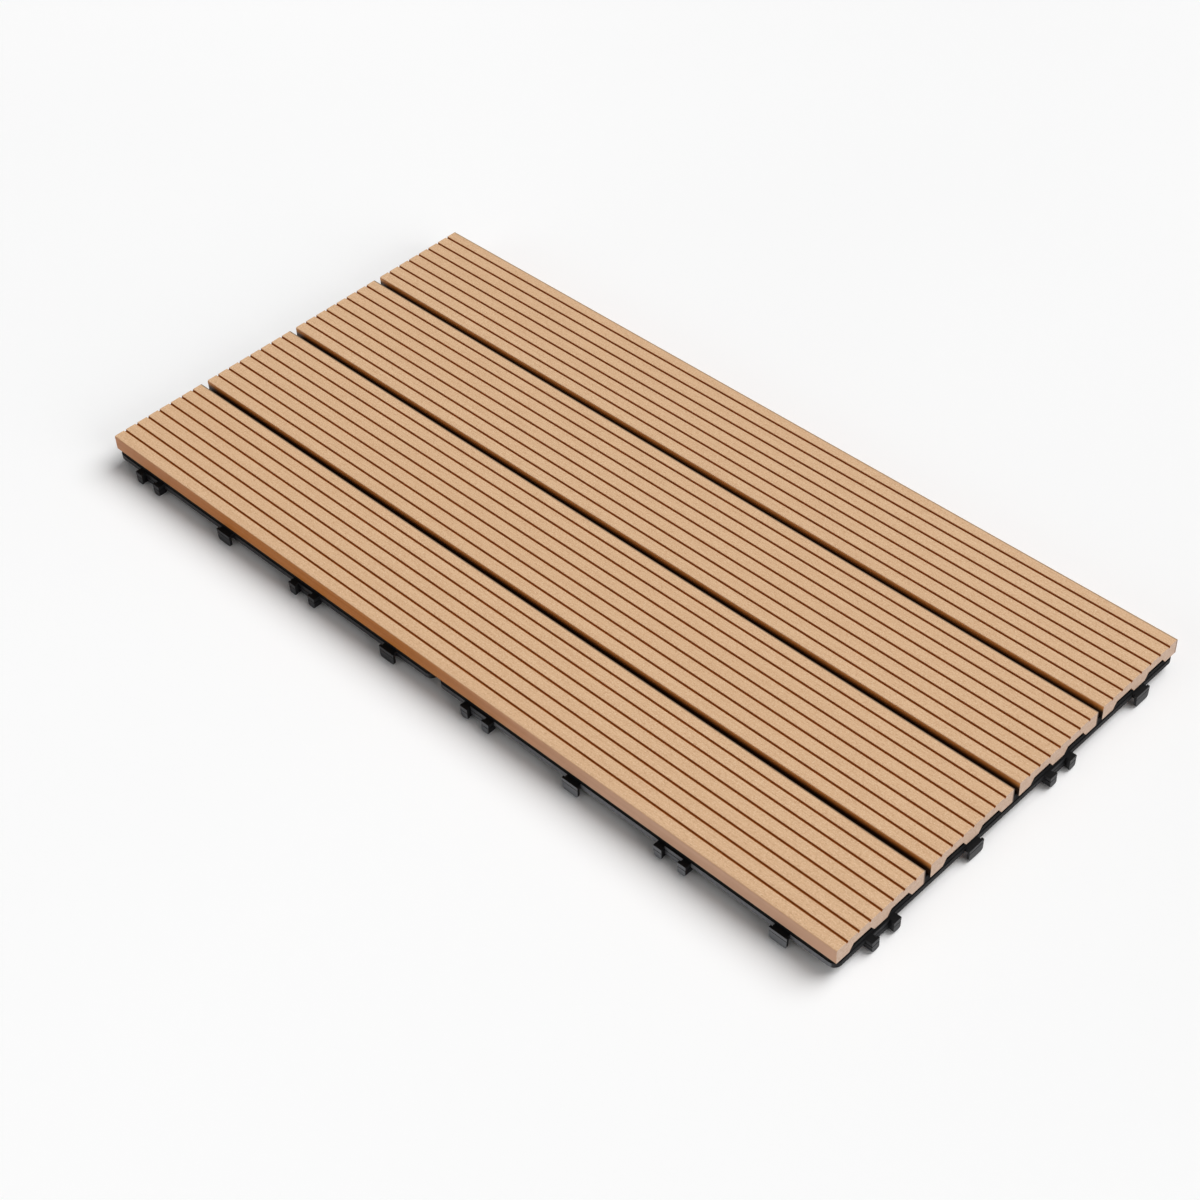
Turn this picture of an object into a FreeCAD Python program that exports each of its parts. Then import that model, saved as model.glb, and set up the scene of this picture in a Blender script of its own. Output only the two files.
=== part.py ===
import FreeCAD, Part
import math
import os

# Interlocking deck tile: grooved composite slats, screwed from below to two plastic bases that clip together.
# Millimetres. X runs along the slats, Y across them, Z up.
# The origin is under the middle of the tile, on the ground that the feet stand on.

Vector = FreeCAD.Vector

# Layout of one tile
base_pitch = 300.0            # from one base to the next, within a tile and from tile to tile
base_gap = 4.6                # clear space between the frames of two neighbouring bases
base_count = 2                # bases in a row under one tile
slat_count = 4                # slats across one base
slat_gap = 4.6                # drainage gap between two slats
slat_end_gap = 4.0            # gap between the slat ends of two tiles in a row

# Slat profile
slat_thickness = 10.5
slat_top_round = 0.8          # long upper edges
slat_bottom_round = 0.5       # long lower edges
groove_pitch = 9.0
groove_width = 1.5            # at the walking surface
groove_depth = 1.2
groove_draft = 0.2            # each wall leans in by this much
groove_shoulder = 0.35        # round along the edge of each ridge
outer_ridge_least = 5.0       # the ridge along each side of a slat is at least this wide
foot_width = 10.3             # solid runs left under a slat, beside and between its channels
channel_count = 2
channel_depth = 4.2
channel_draft = 3.0           # each channel wall leans in by this much

# Base frame and lattice
base_height = 11.5            # ground to the underside of the slats
frame_height = 6.0            # frame and ribs hang this far down from the slats
frame_wall = 2.2
corner_radius = 5.0
ledge_depth = 2.6             # from the slats down to the ledge round the frame
ledge_width = 0.6             # the frame's lower strip stands this far proud of its wall
rib_cells = 8                 # square cells along each side of a base
rib_thickness = 1.6

# Feet
foot_side = 11.0
corner_foot_inset = 17.5      # from both sides of the base to the middle of a corner foot
fin_foot_length = 14.0        # ribs that run down to the ground beside the frame
fin_foot_inset = 16.5

# Spacer tabs that stand up between the slats, at both ends of a base
tab_length = 9.0
tab_height = 2.0
tab_chamfer = 0.6
tab_clearance = 0.2           # to the slat on each side

# Clips round the frame: a tongue with a wide lip drops between the two posts of a socket
clip_clearance = 0.2          # between the faces of two tiles that are clipped together
clip_side_clearance = 0.4     # each side of the lip in its pocket
neck_side_clearance = 0.6     # each side of the neck between the post fronts
lip_width = 12.4
lip_thickness = 1.6
lip_drop = 8.3                # from the ledge down to the bottom of the lip
lip_round = 1.6
lip_line_height = 0.5         # fine sunk line across the front of the lip
lip_line_sink = 0.25
lip_line_drop = 2.2           # from the ledge down to that line
neck_width = 10.2
neck_depth = 3.0
post_width = 6.0
post_drop = 7.9
post_round = 1.4
clip_draft = 0.4              # posts and lips get this much narrower on each side towards their ends
plate_proud = 0.8             # the plate between two posts stands this far out from the frame
plate_thickness = 2.4
plate_drop = 6.7
seam_height = 0.6             # sunk line along the plate and round the posts
seam_sink = 0.25
seam_drop = 2.7               # from the ledge down to the seam

# Screws, driven up through the base into the middle run of each slat
boss_side = 12.0              # square pads in the lattice, one under each screw
screw_thread_diameter = 3.5
screw_length = 14.0           # under the head
screw_tip = 2.6
screw_head_diameter = 7.5
screw_head_height = 2.4
boss_hole_clearance = 0.35    # round the thread in the base
slat_hole_clearance = 0.05    # round the thread in the slat
slat_hole_spare = 0.3         # beyond the screw's point

# Flat facets that stand in for small curves
edge_facets = 2               # round each eased edge of a slat or clip
screw_facets = 12             # round a screw and the holes for it

# Sizes that follow
base_side = base_pitch - base_gap
slat_pitch = base_pitch / slat_count
slat_width = slat_pitch - slat_gap
slat_length = base_count * base_pitch - slat_end_gap
rib_pitch = base_pitch / rib_cells
frame_bottom = base_height - frame_height
ledge_z = base_height - ledge_depth
wall_side = base_side - 2 * ledge_width
inner_side = wall_side - 2 * frame_wall
tongue_reach = base_gap - plate_proud - clip_clearance
post_reach = base_gap - clip_clearance
pocket_front = base_gap - tongue_reach + lip_thickness + clip_clearance
socket_opening = neck_width + 2 * neck_side_clearance
pocket_width = lip_width + 2 * clip_side_clearance
overlap = 1.0                 # how far pieces of one moulding run into each other before they are joined


def eased(corner, before, after):
    """Points (u, v) round one corner (u, v, radius) that lies between two others, on the arc of that radius."""
    u, v, radius = corner
    if radius == 0:
        return [(u, v)]
    here = Vector(u, v, 0)
    back = (Vector(before[0], before[1], 0) - here).normalize()
    ahead = (Vector(after[0], after[1], 0) - here).normalize()
    half_angle = back.getAngle(ahead) / 2
    centre = here + (back + ahead).normalize() * (radius / math.sin(half_angle))
    start = here + back * (radius / math.tan(half_angle)) - centre
    turn = math.pi - 2 * half_angle
    if back.cross(ahead).z > 0:
        turn = -turn
    points = []
    for step in range(edge_facets + 1):
        angle = turn * step / edge_facets
        points.append((centre.x + start.x * math.cos(angle) - start.y * math.sin(angle),
                       centre.y + start.x * math.sin(angle) + start.y * math.cos(angle)))
    return points


def prism(corners, place, travel):
    """Solid swept by travel from the outline through corners (u, v, radius); place(u, v) gives the point."""
    outline = []
    for index, corner in enumerate(corners):
        outline += eased(corner, corners[index - 1], corners[(index + 1) % len(corners)])
    points = [place(u, v) for u, v in outline]
    return Part.Face(Part.makePolygon(points + points[:1])).extrude(travel)


def block(x_range, y_range, z_range):
    """Box between two limits on each axis."""
    size = [high - low for low, high in (x_range, y_range, z_range)]
    return Part.makeBox(*size, Vector(x_range[0], y_range[0], z_range[0]))


def pad(side, x, y, z_low, z_high):
    """Upright square block with its middle at x and y."""
    half = side / 2
    return block((x - half, x + half), (y - half, y + half), (z_low, z_high))


def faceted_wire(diameter, x, y, z):
    """Level outline of a screw or its hole, its corners on the circle of that diameter."""
    circle = Part.Circle(Vector(x, y, z), Vector(0, 0, 1), diameter / 2)
    points = [circle.value(2 * math.pi * step / screw_facets) for step in range(screw_facets)]
    return Part.makePolygon(points + points[:1])


def rod(diameter, x, y, z_low, z_high):
    """Upright faceted rod."""
    return Part.Face(faceted_wire(diameter, x, y, z_low)).extrude(Vector(0, 0, z_high - z_low))


def mirrored(shape):
    """The shape's reflection across the plane x = 0."""
    return shape.mirror(Vector(0, 0, 0), Vector(1, 0, 0))


def joined(pieces):
    """One solid from pieces that run into each other."""
    return pieces[0].multiFuse(pieces[1:]).removeSplitter()


def spread(count, pitch):
    """Positions of count features, pitch apart and centred on zero."""
    return [(index - (count - 1) / 2) * pitch for index in range(count)]


# Slat

def slat_outline():
    """Corners of the slat's cross section as (y, z, radius), from the underside round to the grooved top."""
    half = slat_width / 2
    channel_width = (slat_width - (channel_count + 1) * foot_width) / channel_count
    corners = [(-half, 0, slat_bottom_round)]
    for middle in spread(channel_count, channel_width + foot_width):
        low, high = middle - channel_width / 2, middle + channel_width / 2
        corners += [(low, 0, 0), (low + channel_draft, channel_depth, 0)]
        corners += [(high - channel_draft, channel_depth, 0), (high, 0, 0)]
    corners += [(half, 0, slat_bottom_round), (half, slat_thickness, slat_top_round)]
    groove_count = int((slat_width - 2 * outer_ridge_least) / groove_pitch) + 1
    floor_z = slat_thickness - groove_depth
    for middle in reversed(spread(groove_count, groove_pitch)):
        low, high = middle - groove_width / 2, middle + groove_width / 2
        corners += [(high, slat_thickness, groove_shoulder), (high - groove_draft, floor_z, 0)]
        corners += [(low + groove_draft, floor_z, 0), (low, slat_thickness, groove_shoulder)]
    corners.append((-half, slat_thickness, slat_top_round))
    return corners


def make_slat(middle_y):
    """One slat in its place, with the holes that its screws have cut from below."""
    def place(y, z):
        return Vector(-slat_length / 2, middle_y + y, base_height + z)
    slat = prism(slat_outline(), place, Vector(slat_length, 0, 0))
    tip_z = frame_bottom + screw_length + slat_hole_spare
    hole_diameter = screw_thread_diameter + 2 * slat_hole_clearance
    holes = [rod(hole_diameter, x, middle_y, base_height, tip_z) for x in screw_columns()]
    return slat.cut(Part.makeCompound(holes))


# Screws

def screw_columns():
    """X of the screws along a slat: one near each end of every base."""
    outer_rib = (rib_cells / 2 - 1) * rib_pitch
    return [middle + side * outer_rib for middle in spread(base_count, base_pitch) for side in (-1, 1)]


def make_screw(x, y):
    """Screw with a flat head, point up, its head against the underside of the lattice."""
    point_z = frame_bottom + screw_length
    shoulder_z = point_z - screw_tip
    head = rod(screw_head_diameter, x, y, frame_bottom - screw_head_height, frame_bottom)
    thread = rod(screw_thread_diameter, x, y, frame_bottom, shoulder_z)
    point = Part.Vertex(Vector(x, y, point_z))
    tip = Part.makeLoft([faceted_wire(screw_thread_diameter, x, y, shoulder_z), point], True, True)
    return joined([head, thread, tip])


# Clips, drawn on the front side of a base and centred on x = 0

def front_place(y):
    """Outlines drawn as (x, z) on the plane at y."""
    def place(x, z):
        return Vector(x, y, z)
    return place


def hanging_outline(left, right, drop, radius):
    """Front view of a lip or post, as (x, z, radius): slightly tapered, with its lower corners rounded."""
    bottom = ledge_z - drop
    return [(left, ledge_z, 0), (left + clip_draft, bottom, radius),
            (right - clip_draft, bottom, radius), (right, ledge_z, 0)]


def make_tongue():
    """Neck and hanging lip that drop into a neighbour's socket."""
    frame_y = -base_side / 2
    lip_back = frame_y - tongue_reach + lip_thickness
    neck = block((-neck_width / 2, neck_width / 2), (lip_back - lip_thickness / 2, frame_y + overlap),
                 (ledge_z - neck_depth, ledge_z))
    lip = prism(hanging_outline(-lip_width / 2, lip_width / 2, lip_drop, lip_round),
                front_place(lip_back), Vector(0, -lip_thickness, 0))
    line_top = ledge_z - lip_line_drop
    front = frame_y - tongue_reach
    line = block((-lip_width, lip_width), (front - overlap, front + lip_line_sink),
                 (line_top - lip_line_height, line_top))
    return lip.fuse(neck).cut(line)


def make_post():
    """Right-hand post of a socket: its front lip reaches in over the pocket behind it."""
    frame_y = -base_side / 2
    inner, outer = socket_opening / 2, socket_opening / 2 + post_width
    front = frame_y - post_reach
    pocket_edge = frame_y - pocket_front
    top, bottom = ledge_z, ledge_z - post_drop
    plan = [(pocket_width / 2, frame_y + overlap, 0), (pocket_width / 2, pocket_edge, 0),
            (inner, pocket_edge, 0), (inner, front, 0), (outer, front, 0), (outer, frame_y + overlap, 0)]

    def at_bottom(x, y):
        return Vector(x, y, bottom)
    upright = prism(plan, at_bottom, Vector(0, 0, top - bottom))
    front_view = prism(hanging_outline(inner - clip_draft, outer, post_drop, post_round),
                       front_place(frame_y + overlap), Vector(0, front - frame_y - overlap, 0))
    seam_top = ledge_z - seam_drop
    seam = (seam_top - seam_height, seam_top)
    front_seam = block((inner - overlap, outer + overlap), (front - overlap, front + seam_sink), seam)
    side_seam = block((outer - clip_draft - seam_sink, outer + overlap), (front - overlap, frame_y), seam)
    return upright.common(front_view).cut(front_seam).cut(side_seam)


def make_socket():
    """Two posts with a plate between them, which carries a sunk line."""
    frame_y = -base_side / 2
    outer = socket_opening / 2 + post_width - clip_draft
    front, back = frame_y - plate_proud, frame_y - plate_proud + plate_thickness
    seam_top = ledge_z - seam_drop
    seam_bottom = seam_top - seam_height
    section = [(back, ledge_z, 0), (front, ledge_z, 0), (front, seam_top, 0), (front + seam_sink, seam_top, 0),
               (front + seam_sink, seam_bottom, 0), (front, seam_bottom, 0),
               (front, ledge_z - plate_drop, 0), (back, ledge_z - plate_drop, 0)]

    def side_view(y, z):
        return Vector(-outer, y, z)
    plate = prism(section, side_view, Vector(2 * outer, 0, 0))
    post = make_post()
    return joined([plate, post, mirrored(post)])


def make_clips():
    """Sockets and tongues by turns on every side; each side is the one before it turned by a quarter."""
    positions = spread(slat_count, slat_pitch)
    makers = [make_socket() if index % 2 == 0 else make_tongue() for index in range(slat_count)]
    clips = []
    for quarter in range(4):
        for position, maker in zip(positions, makers):
            clip = maker.copy()
            clip.translate(Vector(position, 0, 0))
            clip.rotate(Vector(0, 0, 0), Vector(0, 0, 1), 90 * quarter)
            clips.append(clip)
    return clips


# Base

def rounded_square(side, radius, z_low, z_high):
    """Upright prism on a square with round corners."""
    half = side / 2
    square = block((-half, half), (-half, half), (z_low, z_high))
    upright = [edge for edge in square.Edges if edge.BoundBox.ZLength > edge.BoundBox.XLength + edge.BoundBox.YLength]
    return square.makeFillet(radius, upright)


def make_frame():
    """Wall round the base with its proud lower strip and the ledge above it."""
    strip = rounded_square(base_side, corner_radius, frame_bottom, ledge_z)
    wall = rounded_square(wall_side, corner_radius - ledge_width, frame_bottom, base_height)
    inside = rounded_square(inner_side, corner_radius - ledge_width - frame_wall, frame_bottom, base_height)
    return strip.fuse(wall).cut(inside)


def make_ribs():
    """Square lattice, a diagonal rib to each corner foot, and fins that stand on the ground beside the frame."""
    half = inner_side / 2 + overlap
    lean = rib_thickness / 2
    along_x = [block((-half, half), (y - lean, y + lean), (frame_bottom, base_height))
               for y in spread(rib_cells - 1, rib_pitch)]
    outer_rib = (rib_cells / 2 - 1) * rib_pitch
    reach = (base_side / 2 - corner_foot_inset - outer_rib) * math.sqrt(2)
    diagonal = block((outer_rib * math.sqrt(2), outer_rib * math.sqrt(2) + reach + corner_foot_inset),
                     (-lean, lean), (frame_bottom, base_height))
    diagonal.rotate(Vector(0, 0, 0), Vector(0, 0, 1), 45)
    fin_middle = base_side / 2 - fin_foot_inset
    fins = [block((fin_middle - fin_foot_length / 2, fin_middle + fin_foot_length / 2), (y - lean, y + lean),
                  (0, base_height)) for y in foot_rows()]
    ribs = []
    for quarter in range(4):
        turned = [diagonal.copy()] + [fin.copy() for fin in fins]
        if quarter < 2:
            turned += [rib.copy() for rib in along_x]
        for rib in turned:
            rib.rotate(Vector(0, 0, 0), Vector(0, 0, 1), 90 * quarter)
        ribs += turned
    return ribs


def foot_rows():
    """Lines through the gaps between slats, where the feet stand."""
    return spread(slat_count - 1, slat_pitch)


def foot_places():
    """Middles of the square feet: a grid under the slat gaps, and one in each corner."""
    corner = base_side / 2 - corner_foot_inset
    grid = [(x, y) for x in foot_rows() for y in foot_rows()]
    return grid + [(x, y) for x in (-corner, corner) for y in (-corner, corner)]


def boss_places():
    """Middles of the screw bosses: two under each slat."""
    middles = spread(slat_count, slat_pitch)
    return [(x, y) for x in (middles[0], middles[-1]) for y in middles]


def make_tabs():
    """Spacer tabs in the slat gaps, at the two ends of the base that lie across the slats."""
    half_width = slat_gap / 2 - tab_clearance
    tab_bottom = ledge_z
    top = base_height + tab_height
    section = [(-half_width, tab_bottom, 0), (half_width, tab_bottom, 0), (half_width, top - tab_chamfer, 0),
               (half_width - tab_chamfer, top, 0), (tab_chamfer - half_width, top, 0),
               (-half_width, top - tab_chamfer, 0)]
    tabs = []
    for row in foot_rows():
        def place(y, z):
            return Vector(wall_side / 2 - tab_length, row + y, z)
        tab = prism(section, place, Vector(tab_length, 0, 0))
        tabs += [tab, mirrored(tab)]
    return tabs


def make_base(middle_x):
    """One base moulding: frame, lattice, feet, screw bosses, tabs and clips."""
    feet = [pad(foot_side, x, y, 0, frame_bottom) for x, y in foot_places()]
    bosses = [pad(boss_side, x, y, frame_bottom, base_height) for x, y in boss_places()]
    body = joined([make_frame()] + make_ribs() + feet + bosses + make_tabs() + make_clips())
    hole_diameter = screw_thread_diameter + 2 * boss_hole_clearance
    holes = [rod(hole_diameter, x, y, frame_bottom, base_height) for x, y in boss_places()]
    base = body.cut(Part.makeCompound(holes))
    base.translate(Vector(middle_x, 0, 0))
    return base


def write(name, shape):
    """One STEP file for each node."""
    shape.exportStep(f"parts/{name}.step")
    print(name, len(shape.Solids), "solids,", round(shape.Volume), "mm3, valid:", shape.isValid())


os.makedirs("parts", exist_ok=True)
slat_rows = spread(slat_count, slat_pitch)
for number, row_y in enumerate(slat_rows, start=1):
    write(f"slat_{number}", make_slat(row_y))
for name, base_x in zip(("base_left", "base_right"), spread(base_count, base_pitch)):
    write(name, make_base(base_x))
write("screws", Part.makeCompound([make_screw(x, y) for x in screw_columns() for y in slat_rows]))
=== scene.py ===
import bpy
import bmesh
import math
from mathutils import Matrix, Vector


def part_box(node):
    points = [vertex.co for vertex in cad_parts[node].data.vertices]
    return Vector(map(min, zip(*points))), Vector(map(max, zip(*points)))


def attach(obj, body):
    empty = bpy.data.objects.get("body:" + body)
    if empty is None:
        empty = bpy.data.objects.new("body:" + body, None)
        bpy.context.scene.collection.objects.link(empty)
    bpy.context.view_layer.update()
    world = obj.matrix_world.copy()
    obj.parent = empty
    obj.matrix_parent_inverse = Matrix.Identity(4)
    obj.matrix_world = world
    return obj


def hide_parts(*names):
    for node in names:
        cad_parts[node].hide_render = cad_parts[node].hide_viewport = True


# Interlocking deck tile: four composite slats on two plastic bases, on a pale studio floor.
# Metres. X runs along the slats, Y across them away from the near long side, Z up.

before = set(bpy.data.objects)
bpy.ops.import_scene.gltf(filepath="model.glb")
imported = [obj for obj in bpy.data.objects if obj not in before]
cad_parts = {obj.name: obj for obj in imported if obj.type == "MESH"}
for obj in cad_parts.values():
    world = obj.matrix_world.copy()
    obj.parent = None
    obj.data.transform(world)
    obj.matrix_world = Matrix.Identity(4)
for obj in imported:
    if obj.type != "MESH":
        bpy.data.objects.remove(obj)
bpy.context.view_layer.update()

SLATS = [f"slat_{number}" for number in range(1, 5)]
BASES = ["base_left", "base_right"]

# The slats' own measures, read from the solids
slat_low, slat_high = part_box("slat_1")
NEAR_SIDE = slat_low[1]
HALF_TILE_WIDTH = -NEAR_SIDE
SLAT_TOP = slat_high[2]
SLAT_BOTTOM = slat_low[2]
SLAT_WIDTH = slat_high[1] - slat_low[1]
SLAT_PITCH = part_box("slat_2")[0][1] - slat_low[1]

# Where the colours of a slat change: depths below its top, and distances from its long sides
GROOVE_DEPTH = 0.0012
RIDGE_SHOULDER = 0.00012      # a groove's colour starts here
GAP_SHADE_START = 0.0012          # painted shade in the gap between two slats starts here
GAP_SHADE_FULL = 0.0052           # and covers all below here
EDGE_RIDGE = 0.0028           # the ridge along a long side has no groove or channel
SIDE_SKIN = 0.0003            # nearer than this a point belongs to the side
EDGE_HIGHLIGHT_WIDTH = 0.0004          # nearer than this an upper edge gets a painted highlight
EDGE_SHADE_START = 0.0015          # painted shade on the far edge starts here
EDGE_SHADE_FULL = 0.0006           # and is full nearer than this

# The bases' frame stands in from their clips, and its ledge lies below the slats
CLIP_REACH = 0.0044
LEDGE = SLAT_BOTTOM - 0.0026
FRAME_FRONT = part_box("base_right")[0][1] + CLIP_REACH
FRAME_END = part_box("base_right")[1][0] - CLIP_REACH

# Fine rounds on the sharp edges of the solids
SLAT_EDGE = 0.00022
PLASTIC_EDGE = 0.00018
SHARP_ANGLE = math.radians(35)
WELD_DISTANCE = 0.00001

# Screws, standing on their heads
HEAD_HEIGHT = 0.0024
HEAD_RADIUS = 0.00374
HEAD_DOME = [(0.0, 0.0), (0.0018, 0.0), (0.0026, 0.00025), (0.0033, 0.0008), (HEAD_RADIUS, 0.0016)]
CORE_RADIUS = 0.00150
THREAD_RADIUS = 0.00172
THREAD_PITCH = 0.0014
PLAIN_NECK = 0.0012           # between the head and the first ring of thread
LAST_THREAD = 0.0034          # the rings start at least this far from the point
POINT_LENGTH = 0.0026
POINT_CLEARANCE = 0.0001
SCREW_SEGMENTS = 24
FIRST_TURN = 0.7              # radians about its axis
NEXT_TURN = 1.9               # and so much further for each one after

# Cross recess of a screw: height, half length and half width of its arms at both ends
RECESS_MOUTH = (-0.0004, 0.0023, 0.00045)
RECESS_FLOOR = (0.0015, 0.0006, 0.00025)

# In the solids of the screws
FACE_DEPTH = 0.0001           # points this near to the lowest one lie on a head's face
HEAD_REACH = 0.011            # and nearer to each other than this, on the same one

FLOOR_SIZE = 12.0
LIGHT_DISTANCE = 3

# The photograph's own view, worked out from the corners of the tile's top
CAMERA_PLACE = (0.72362, -0.69835, 0.94138)
CAMERA_TURN = (45.818, 2.264, 44.426)
CAMERA_LENS = 68.4
CAMERA_SENSOR = 36.0


def linear(red, green, blue):
    """A screen colour of 0 to 255 as the linear colour that a shader takes."""
    def channel(value):
        value /= 255
        return value / 12.92 if value <= 0.04045 else ((value + 0.055) / 1.055) ** 2.4
    return (channel(red), channel(green), channel(blue), 1.0)


class Look:
    """A material while its nodes are being laid out."""

    def __init__(self, name):
        self.material = bpy.data.materials.new(name)
        self.material.use_nodes = True
        self.tree = self.material.node_tree
        self.shader = self.tree.nodes["Principled BSDF"]

    def put(self, socket, source):
        """Joins a source socket, or sets a plain value."""
        if isinstance(source, bpy.types.NodeSocket):
            self.tree.links.new(source, socket)
        else:
            socket.default_value = source

    def add(self, kind, inputs=(), output=0, **settings):
        """A node with its settings and inputs; gives one of its outputs."""
        made = self.tree.nodes.new(kind)
        for name, value in settings.items():
            setattr(made, name, value)
        for name, source in dict(inputs).items():
            self.put(made.inputs[name], source)
        return made.outputs[output]

    def math(self, operation, first, second=0.0):
        return self.add("ShaderNodeMath", {0: first, 1: second}, operation=operation)

    def size(self, value):
        """The value without its sign."""
        return self.math("ABSOLUTE", value)

    def both(self, first, second):
        """Where two shares hold together."""
        return self.math("MULTIPLY", first, second)

    def either(self, first, second):
        """The larger of two shares."""
        return self.math("MAXIMUM", first, second)

    def rest(self, share):
        """What a share leaves of the whole."""
        return self.math("SUBTRACT", 1.0, share)

    def span(self, value, low, high, to_low=0.0, to_high=1.0):
        """The value taken from one range to another, and held at its ends."""
        return self.add("ShaderNodeMapRange", {"Value": value, "From Min": low, "From Max": high,
                                               "To Min": to_low, "To Max": to_high})

    def above(self, value, limit, soft):
        """1 where the value is over the limit, down to 0 across a soft band under it."""
        return self.span(value, limit - soft, limit)

    def below(self, value, limit, soft):
        """0 where the value is over the limit, up to 1 across a soft band under it."""
        return self.span(value, limit - soft, limit, 1.0, 0.0)

    def ease(self, value, low, high):
        """0 to 1 between two limits, with a soft start and end."""
        return self.add("ShaderNodeMapRange", {"Value": value, "From Min": low, "From Max": high},
                        interpolation_type="SMOOTHSTEP")

    def mix(self, factor, first, second):
        return self.add("ShaderNodeMix", {0: factor, 6: first, 7: second}, output=2, data_type="RGBA")

    def blend(self, field, first, second, low=0.3, high=0.7):
        """Two colours shared out by a field of noise."""
        return self.mix(self.span(field, low, high), first, second)

    def fleck(self, colour, field, low, high, most, other):
        """The colour with up to a share of another one where a field of noise is high."""
        return self.mix(self.span(field, low, high, 0.0, most), colour, other)

    def split(self, vector):
        made = self.tree.nodes.new("ShaderNodeSeparateXYZ")
        self.put(made.inputs[0], vector)
        return made.outputs

    def position(self):
        return self.add("ShaderNodeTexCoord", output="Object")

    def facing(self):
        return self.add("ShaderNodeTexCoord", output="Normal")

    def noise(self, place, stretch, detail=3.0, roughness=0.55, offset=(0.0, 0.0, 0.0)):
        """Noise with so many features to the metre along each axis."""
        mapped = self.add("ShaderNodeMapping", {"Vector": place, "Location": offset, "Scale": stretch})
        return self.add("ShaderNodeTexNoise", {"Vector": mapped, "Scale": 1.0, "Detail": detail,
                                               "Roughness": roughness})

    def bump(self, height, distance, strength):
        return self.add("ShaderNodeBump", {"Height": height, "Distance": distance, "Strength": strength})

    def finish(self, **sockets):
        """Sets the shader's sockets, named with _ for each space, and gives the material."""
        for name, source in sockets.items():
            self.put(self.shader.inputs[name.replace("_", " ")], source)
        return self.material


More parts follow.
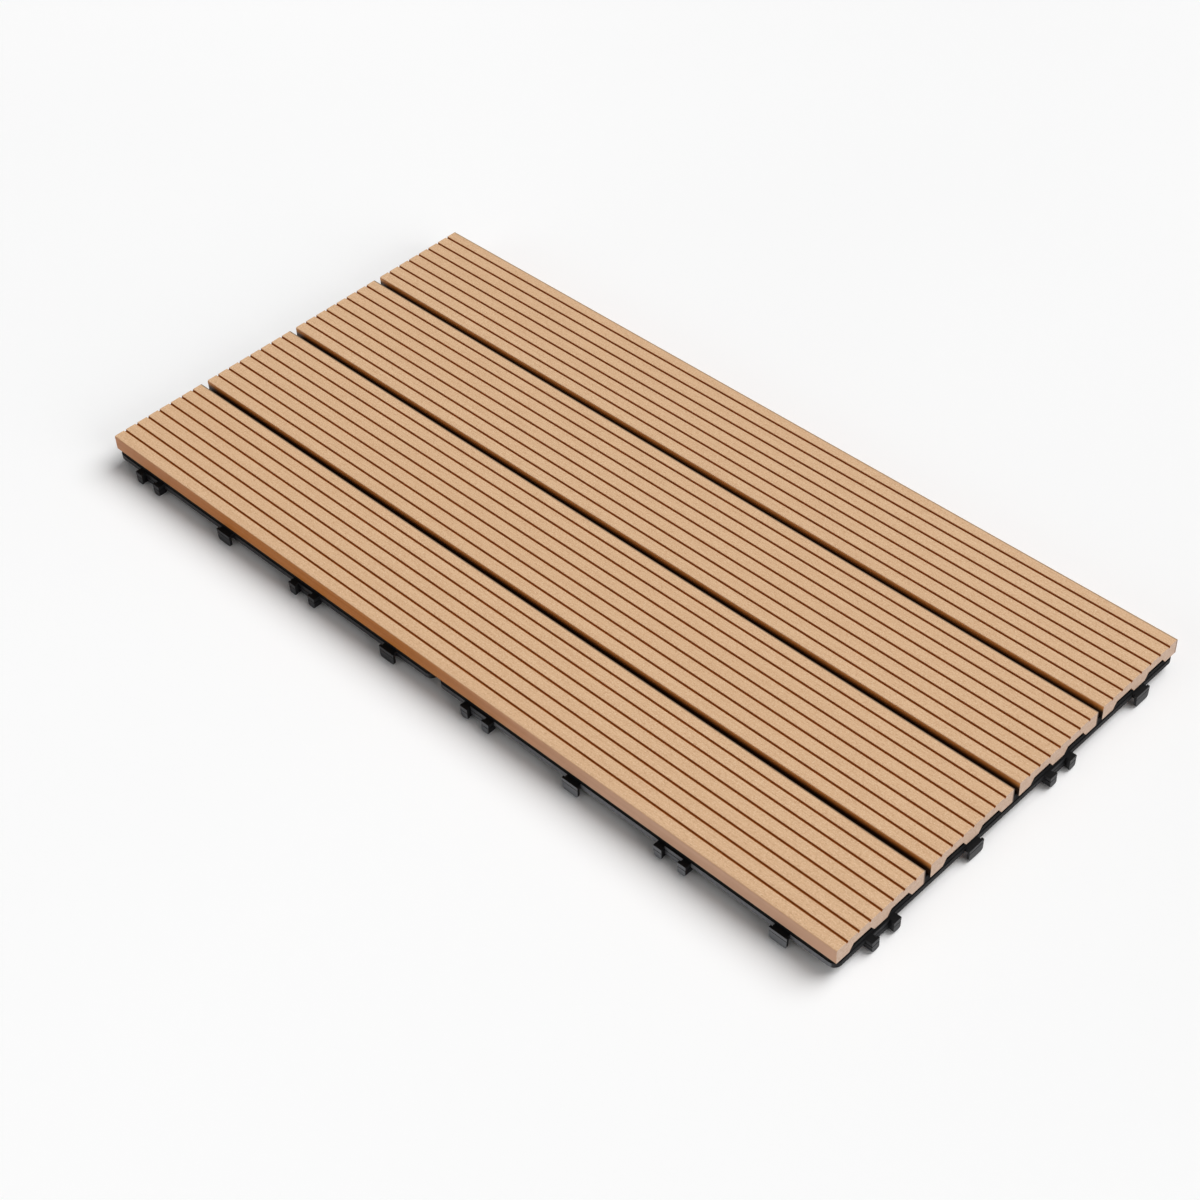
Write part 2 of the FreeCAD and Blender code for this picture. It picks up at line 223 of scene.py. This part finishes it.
def composite_material():
    """Wood composite: brushed ridges, dark grooves, smooth extruded sides and pale sawn ends."""
    look = Look("composite")
    place = look.position()
    x, y, z = look.split(place)
    normal_x, normal_y, normal_z = look.split(look.facing())

    # Where on its slat a point lies
    half_width = SLAT_WIDTH / 2
    across = look.math("MODULO", look.math("SUBTRACT", y, NEAR_SIDE), SLAT_PITCH)
    from_middle = look.size(look.math("SUBTRACT", across, half_width))
    inside = look.below(from_middle, half_width - EDGE_RIDGE, soft=0.0002)
    below_ridge = look.below(z, SLAT_TOP - RIDGE_SHOULDER, soft=0.00023)
    above_floor = look.above(z, SLAT_TOP - GROOVE_DEPTH - 0.0004, soft=0.0002)
    in_groove = look.both(look.both(below_ridge, above_floor), inside)
    on_wall = look.above(from_middle, half_width - SIDE_SKIN, soft=0.0004)
    outer = look.above(look.size(y), HALF_TILE_WIDTH - SIDE_SKIN, soft=0.0004)
    on_end = look.above(look.size(normal_x), 0.8, soft=0.2)
    on_side = look.above(look.size(normal_y), 0.8, soft=0.25)
    on_top = look.above(normal_z, 0.8, soft=0.3)
    on_underside = look.below(normal_z, -0.5, soft=0.3)

    # Fields of fine structure
    streaks = look.noise(place, (30.0, 1100.0, 1100.0), 4.0, 0.6)
    grit = look.noise(place, (620.0, 1250.0, 1250.0), 3.0, 0.75, (3.1, 0.7, 0.2))
    speckle = look.noise(place, (900.0, 1500.0, 1500.0), 2.0, 0.7, (1.7, 5.3, 0.9))
    drift = look.noise(place, (4.0, 26.0, 26.0), 2.0, 0.5, (0.4, 2.2, 7.1))
    flow = look.noise(place, (7.0, 300.0, 500.0), 3.0, 0.5, (5.0, 1.0, 2.0))
    fibres = look.noise(place, (1400.0, 900.0, 1100.0), 4.0, 0.65, (8.2, 3.3, 1.1))
    saw = look.noise(place, (900.0, 1600.0, 60.0), 2.0, 0.5, (2.0, 9.0, 4.0))

    # Brushed walking surface
    brushed = look.blend(streaks, linear(210, 170, 131), linear(222, 184, 145), 0.34, 0.66)
    brushed = look.fleck(brushed, grit, 0.50, 0.70, 0.85, linear(186, 143, 104))
    brushed = look.fleck(brushed, speckle, 0.53, 0.70, 0.8, linear(239, 209, 175))
    brushed = look.fleck(brushed, drift, 0.3, 0.7, 0.2, linear(206, 163, 122))

    # Extruded sides with long faint flow lines. A paler colour is painted sheen, a reflection of the
    # floor, on the right and a little at the left corner; on the two far slats it is a paler tone
    fresh = look.blend(flow, linear(175, 99, 20), linear(186, 110, 29))
    sheen_and_pale_tone = look.blend(flow, linear(207, 160, 129), linear(215, 170, 140))
    along = look.math("ADD", x, look.span(drift, 0.2, 0.8, -0.05, 0.05))
    sheen_at_right = look.ease(along, -0.02, 0.18)
    sheen_at_left = look.span(along, -0.29, -0.18, 0.35, 0.0)
    far_half = look.span(y, -0.01, 0.01, 0.0, 0.65)
    skin = look.mix(look.either(look.either(sheen_at_right, sheen_at_left), far_half), fresh, sheen_and_pale_tone)
    skin = look.fleck(skin, speckle, 0.58, 0.8, 0.25, linear(222, 180, 140))

    # Painted shade: the sides between two slats keep their colour at the top and are darkened towards the
    # bottom of the gap
    gap_shade = look.rest(look.ease(z, SLAT_TOP - GAP_SHADE_FULL, SLAT_TOP - GAP_SHADE_START))
    between = look.mix(look.both(gap_shade, 0.97), linear(219, 151, 79), linear(20, 8, 4))
    skin = look.mix(look.both(on_wall, look.rest(outer)), skin, between)

    # The underside and its channels keep the even colour of fresh composite
    under = look.blend(flow, linear(176, 122, 78), linear(190, 138, 94))
    skin = look.mix(on_underside, skin, under)
    skin = look.mix(inside, skin, under)

    # Sawn ends, pale with cut fibres
    cut = look.blend(fibres, linear(177, 148, 127), linear(195, 171, 152), 0.35, 0.68)
    cut = look.fleck(cut, saw, 0.5, 0.75, 0.25, linear(165, 134, 111))

    groove = look.blend(streaks, linear(158, 91, 22), linear(180, 106, 32))
    colour = look.mix(look.rest(on_top), brushed, skin)
    colour = look.mix(in_groove, colour, groove)
    colour = look.mix(on_end, colour, cut)

    # Painted highlight: the long upper edges are made pale
    edge_highlight = look.both(look.above(z, SLAT_TOP - 0.0002, soft=0.0007),
                       look.above(from_middle, half_width - EDGE_HIGHLIGHT_WIDTH, soft=0.0006))
    edge_highlight = look.both(edge_highlight, look.span(grit, 0.3, 0.6, 0.95, 0.45))
    painted_edge_highlight = look.mix(outer, linear(242, 203, 166), linear(231, 186, 139))
    colour = look.mix(look.both(edge_highlight, look.rest(on_end)), colour, painted_edge_highlight)

    # Painted shade on the rounded far edge of each slat, next to the gap behind it
    far_edge = look.span(across, SLAT_WIDTH - EDGE_SHADE_START, SLAT_WIDTH - EDGE_SHADE_FULL, 0.0, 0.9)
    on_round = look.both(look.above(normal_y, 0.0, soft=0.5), look.below(normal_y, 0.97, soft=0.17))
    painted_far_edge_shade = look.both(look.both(far_edge, look.rest(outer)), on_round)
    colour = look.mix(painted_far_edge_shade, colour, linear(46, 29, 19))

    roughness = look.span(streaks, 0.3, 0.7, 0.62, 0.78)
    roughness = look.math("SUBTRACT", roughness, look.both(on_side, 0.14))
    height = look.math("SUBTRACT", look.both(streaks, 0.4), look.both(grit, 0.8))
    relief = look.bump(height, distance=0.00015, strength=0.6)
    return look.finish(Base_Color=colour, Roughness=roughness, Normal=relief, Specular_IOR_Level=0.35)


def plastic_material():
    """Black moulded plastic with a fine satin texture, faint flow marks and dust."""
    look = Look("base_plastic")
    place = look.position()
    x, y, z = look.split(place)
    normal_x, normal_y, normal_z = look.split(look.facing())
    grain = look.noise(place, (2600.0, 2600.0, 2600.0), 3.0, 0.6)
    flow = look.noise(place, (55.0, 55.0, 160.0), 3.0, 0.5, (1.0, 4.0, 2.0))
    dust = look.noise(place, (420.0, 420.0, 420.0), 5.0, 0.7, (6.0, 2.0, 8.0))

    # Painted shade, duller as well: darker on up-facing faces and on what the slats overhang above the
    # ledge, and along the frame's right-hand end
    up_and_overhung_shade = look.either(look.above(normal_z, 0.8, soft=0.4),
                            look.above(z, LEDGE + 0.0002, soft=0.0003))
    end_strip_shade = look.both(look.above(normal_x, 0.8, soft=0.3),
                          look.below(x, FRAME_END + 0.0012, soft=0.0007))
    shade = look.either(up_and_overhung_shade, look.both(end_strip_shade, 0.7))

    # Painted reflection of the floor: paler grey on the front of the frame and its clips, towards the
    # right
    front = look.both(look.below(normal_y, -0.5, soft=0.4),
                      look.below(y, FRAME_FRONT + 0.0006, soft=0.0004))
    along = look.math("ADD", x, look.span(flow, 0.2, 0.8, -0.04, 0.04))
    painted_floor_reflection = look.both(front, look.ease(along, -0.06, 0.14))

    colour = look.blend(flow, linear(26, 26, 28), linear(36, 36, 39))
    colour = look.fleck(colour, dust, 0.58, 0.8, 0.35, linear(58, 58, 58))
    colour = look.mix(painted_floor_reflection, colour, linear(112, 113, 116))
    colour = look.mix(shade, colour, linear(10, 10, 11))
    roughness = look.math("ADD", look.span(flow, 0.3, 0.7, 0.36, 0.46),
                          look.span(dust, 0.5, 0.8, 0.0, 0.12))
    roughness = look.math("ADD", roughness, look.both(shade, 0.45))
    relief = look.bump(grain, distance=0.00005, strength=0.4)
    return look.finish(Base_Color=colour, Roughness=roughness, Normal=relief, Specular_IOR_Level=0.25)


def steel_material():
    """Zinc-plated screws with a soft uneven shine."""
    look = Look("screw_steel")
    place = look.position()
    spangle = look.add("ShaderNodeTexVoronoi", {"Vector": place, "Scale": 900.0}, output="Distance")
    tarnish = look.noise(place, (260.0, 260.0, 260.0), 4.0, 0.6)
    colour = look.blend(tarnish, linear(192, 194, 196), linear(150, 148, 142), 0.35, 0.7)
    colour = look.fleck(colour, spangle, 0.1, 0.6, 0.3, linear(214, 216, 220))
    roughness = look.span(tarnish, 0.3, 0.7, 0.24, 0.42)
    relief = look.bump(spangle, distance=0.00003, strength=0.3)
    return look.finish(Base_Color=colour, Roughness=roughness, Normal=relief, Metallic=1.0)


def floor_material():
    """Pale seamless studio floor."""
    look = Look("studio_floor")
    cloud = look.noise(look.position(), (1.2, 1.2, 1.2), 2.0, 0.5)
    colour = look.blend(cloud, linear(250, 250, 250), linear(253, 253, 253))
    return look.finish(Base_Color=colour, Roughness=0.85, Specular_IOR_Level=0.1)


def eased_edges(node, width):
    """The node's sharp edges get a fine round, as a worn or moulded edge has."""
    weld = node.modifiers.new("weld", "WELD")
    weld.merge_threshold = WELD_DISTANCE
    bevel = node.modifiers.new("edge", "BEVEL")
    bevel.width = width
    bevel.segments = 2
    bevel.limit_method = "ANGLE"
    bevel.angle_limit = SHARP_ANGLE
    bevel.use_clamp_overlap = True


def dress(names, material, edge_width):
    """Gives CAD nodes their material and eased edges."""
    for name in names:
        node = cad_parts[name]
        node.data.materials.clear()
        node.data.materials.append(material)
        eased_edges(node, edge_width)


def turned(profile, segments):
    """Mesh turned about Z from (radius, height) points."""
    made = bmesh.new()
    angles = [2 * math.pi * step / segments for step in range(segments)]
    rings = []
    for radius, height in profile:
        places = [(radius * math.cos(angle), radius * math.sin(angle), height) for angle in angles]
        rings.append([made.verts.new(place) for place in (places if radius else places[:1])])
    for low, high in zip(rings, rings[1:]):
        for step in range(segments):
            after = (step + 1) % segments
            corners = [low[step % len(low)], low[after % len(low)],
                       high[after % len(high)], high[step % len(high)]]
            made.faces.new(list(dict.fromkeys(corners)))
    bmesh.ops.recalc_face_normals(made, faces=made.faces)
    return made


def as_object(name, made):
    """The mesh that was being made, as an object in the scene."""
    mesh = bpy.data.meshes.new(name)
    made.to_mesh(mesh)
    made.free()
    thing = bpy.data.objects.new(name, mesh)
    bpy.context.scene.collection.objects.link(thing)
    return thing


def cross_cutter():
    """Tapered cross that cuts the drive recess into a screw head, with its wide end below the head."""
    made = bmesh.new()
    sides = [(0, 1, 2, 3), (4, 7, 6, 5)] + [(i, i + 4, (i + 1) % 4 + 4, (i + 1) % 4) for i in range(4)]
    for quarter in (0, 1):
        turn = Matrix.Rotation(math.pi / 2 * quarter, 3, "Z")
        corners = []
        for height, half_length, half_width in (RECESS_MOUTH, RECESS_FLOOR):
            for along, aside in ((-1, -1), (1, -1), (1, 1), (-1, 1)):
                point = Vector((along * half_length, aside * half_width, height))
                corners.append(made.verts.new(turn @ point))
        for side in sides:
            made.faces.new([corners[i] for i in side])
    bmesh.ops.recalc_face_normals(made, faces=made.faces)
    return as_object("cross_cutter", made)


def screw_places():
    """Middle of each screw's head, found from the CAD screws."""
    vertices = [vertex.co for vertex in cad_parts["screws"].data.vertices]
    lowest = min(point.z for point in vertices)
    heads = []
    for point in vertices:
        if point.z > lowest + FACE_DEPTH:
            continue
        head = next((points for points in heads if (points[0] - point).length < HEAD_REACH), None)
        if head is None:
            heads.append([point])
        else:
            head.append(point)
    return [sum(points, Vector()) / len(points) for points in heads]


def screw_profile(length):
    """Half outline of a screw as (radius, height) points, with a ring for each turn of its thread."""
    profile = [*HEAD_DOME, (HEAD_RADIUS, HEAD_HEIGHT), (CORE_RADIUS, HEAD_HEIGHT)]
    height = HEAD_HEIGHT + PLAIN_NECK
    while height < length - LAST_THREAD:
        profile += [(CORE_RADIUS, height), (THREAD_RADIUS, height + 0.35 * THREAD_PITCH),
                    (CORE_RADIUS, height + 0.7 * THREAD_PITCH)]
        height += THREAD_PITCH
    return profile + [(CORE_RADIUS, length - POINT_LENGTH), (0.0, length - POINT_CLEARANCE)]


def one_screw(length):
    """Mesh of a screw with the cross recess cut into its head."""
    pattern = as_object("screw_pattern", turned(screw_profile(length), SCREW_SEGMENTS))
    cutter = cross_cutter()
    cut = pattern.modifiers.new("recess", "BOOLEAN")
    cut.object = cutter
    cut.operation = "DIFFERENCE"
    cut.solver = "EXACT"
    cut.use_self = True
    seen = pattern.evaluated_get(bpy.context.evaluated_depsgraph_get())
    finished = bpy.data.meshes.new_from_object(seen)
    for thing in (pattern, cutter):
        bpy.data.objects.remove(thing, do_unlink=True)
    return finished


def make_screws(material):
    """Domed screws with a cross recess and rings of thread, in place of the plain ones."""
    low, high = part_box("screws")
    pattern = one_screw(high[2] - low[2])
    together = bmesh.new()
    for number, middle in enumerate(screw_places()):
        turn = Matrix.Rotation(FIRST_TURN + NEXT_TURN * number, 4, "Z")
        copy = pattern.copy()
        copy.transform(Matrix.Translation((middle.x, middle.y, low[2])) @ turn)
        together.from_mesh(copy)
        bpy.data.meshes.remove(copy)
    bmesh.ops.remove_doubles(together, verts=together.verts, dist=WELD_DISTANCE)
    screws = as_object("screws_detailed", together)
    for polygon in screws.data.polygons:
        polygon.use_smooth = True
    screws.data.set_sharp_from_angle(angle=SHARP_ANGLE)
    screws.data.materials.append(material)
    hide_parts("screws")
    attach(screws, "root")


def make_floor(material):
    bpy.ops.mesh.primitive_plane_add(size=FLOOR_SIZE, location=(0, 0, 0))
    floor = bpy.context.object
    floor.name = "floor"
    floor.data.materials.append(material)


def add_light(name, towards, share, softness):
    """Sun in the direction towards, softness degrees wide.

    A white surface that faces it shows that share of full brightness.
    """
    data = bpy.data.lights.new(name, "SUN")
    data.energy = share * math.pi
    data.angle = math.radians(softness)
    light = bpy.data.objects.new(name, data)
    light.location = Vector(towards).normalized() * LIGHT_DISTANCE
    light.rotation_euler = Vector(towards).to_track_quat("Z", "Y").to_euler()
    bpy.context.scene.collection.objects.link(light)


def make_lights():
    """White surroundings, a broad key light from behind, and weaker ones from the right and the front."""
    world = bpy.data.worlds.new("studio")
    world.use_nodes = True
    background = world.node_tree.nodes["Background"]
    background.inputs["Color"].default_value = (1.0, 1.0, 1.0, 1.0)
    background.inputs["Strength"].default_value = 0.15
    bpy.context.scene.world = world
    add_light("key", (0.35, 0.75, 1.1), share=0.86, softness=50)
    add_light("right", (1.0, 0.05, 0.32), share=0.37, softness=40)
    add_light("front", (-0.3, -1.0, 0.26), share=0.16, softness=40)


def make_camera():
    data = bpy.data.cameras.new("camera")
    data.sensor_width = CAMERA_SENSOR
    data.lens = CAMERA_LENS
    camera = bpy.data.objects.new("camera", data)
    camera.location = CAMERA_PLACE
    camera.rotation_euler = [math.radians(angle) for angle in CAMERA_TURN]
    bpy.context.scene.collection.objects.link(camera)
    bpy.context.scene.camera = camera


dress(SLATS, composite_material(), SLAT_EDGE)
dress(BASES, plastic_material(), PLASTIC_EDGE)
make_screws(steel_material())
make_floor(floor_material())
make_lights()
make_camera()
bpy.context.scene.view_settings.view_transform = "Standard"
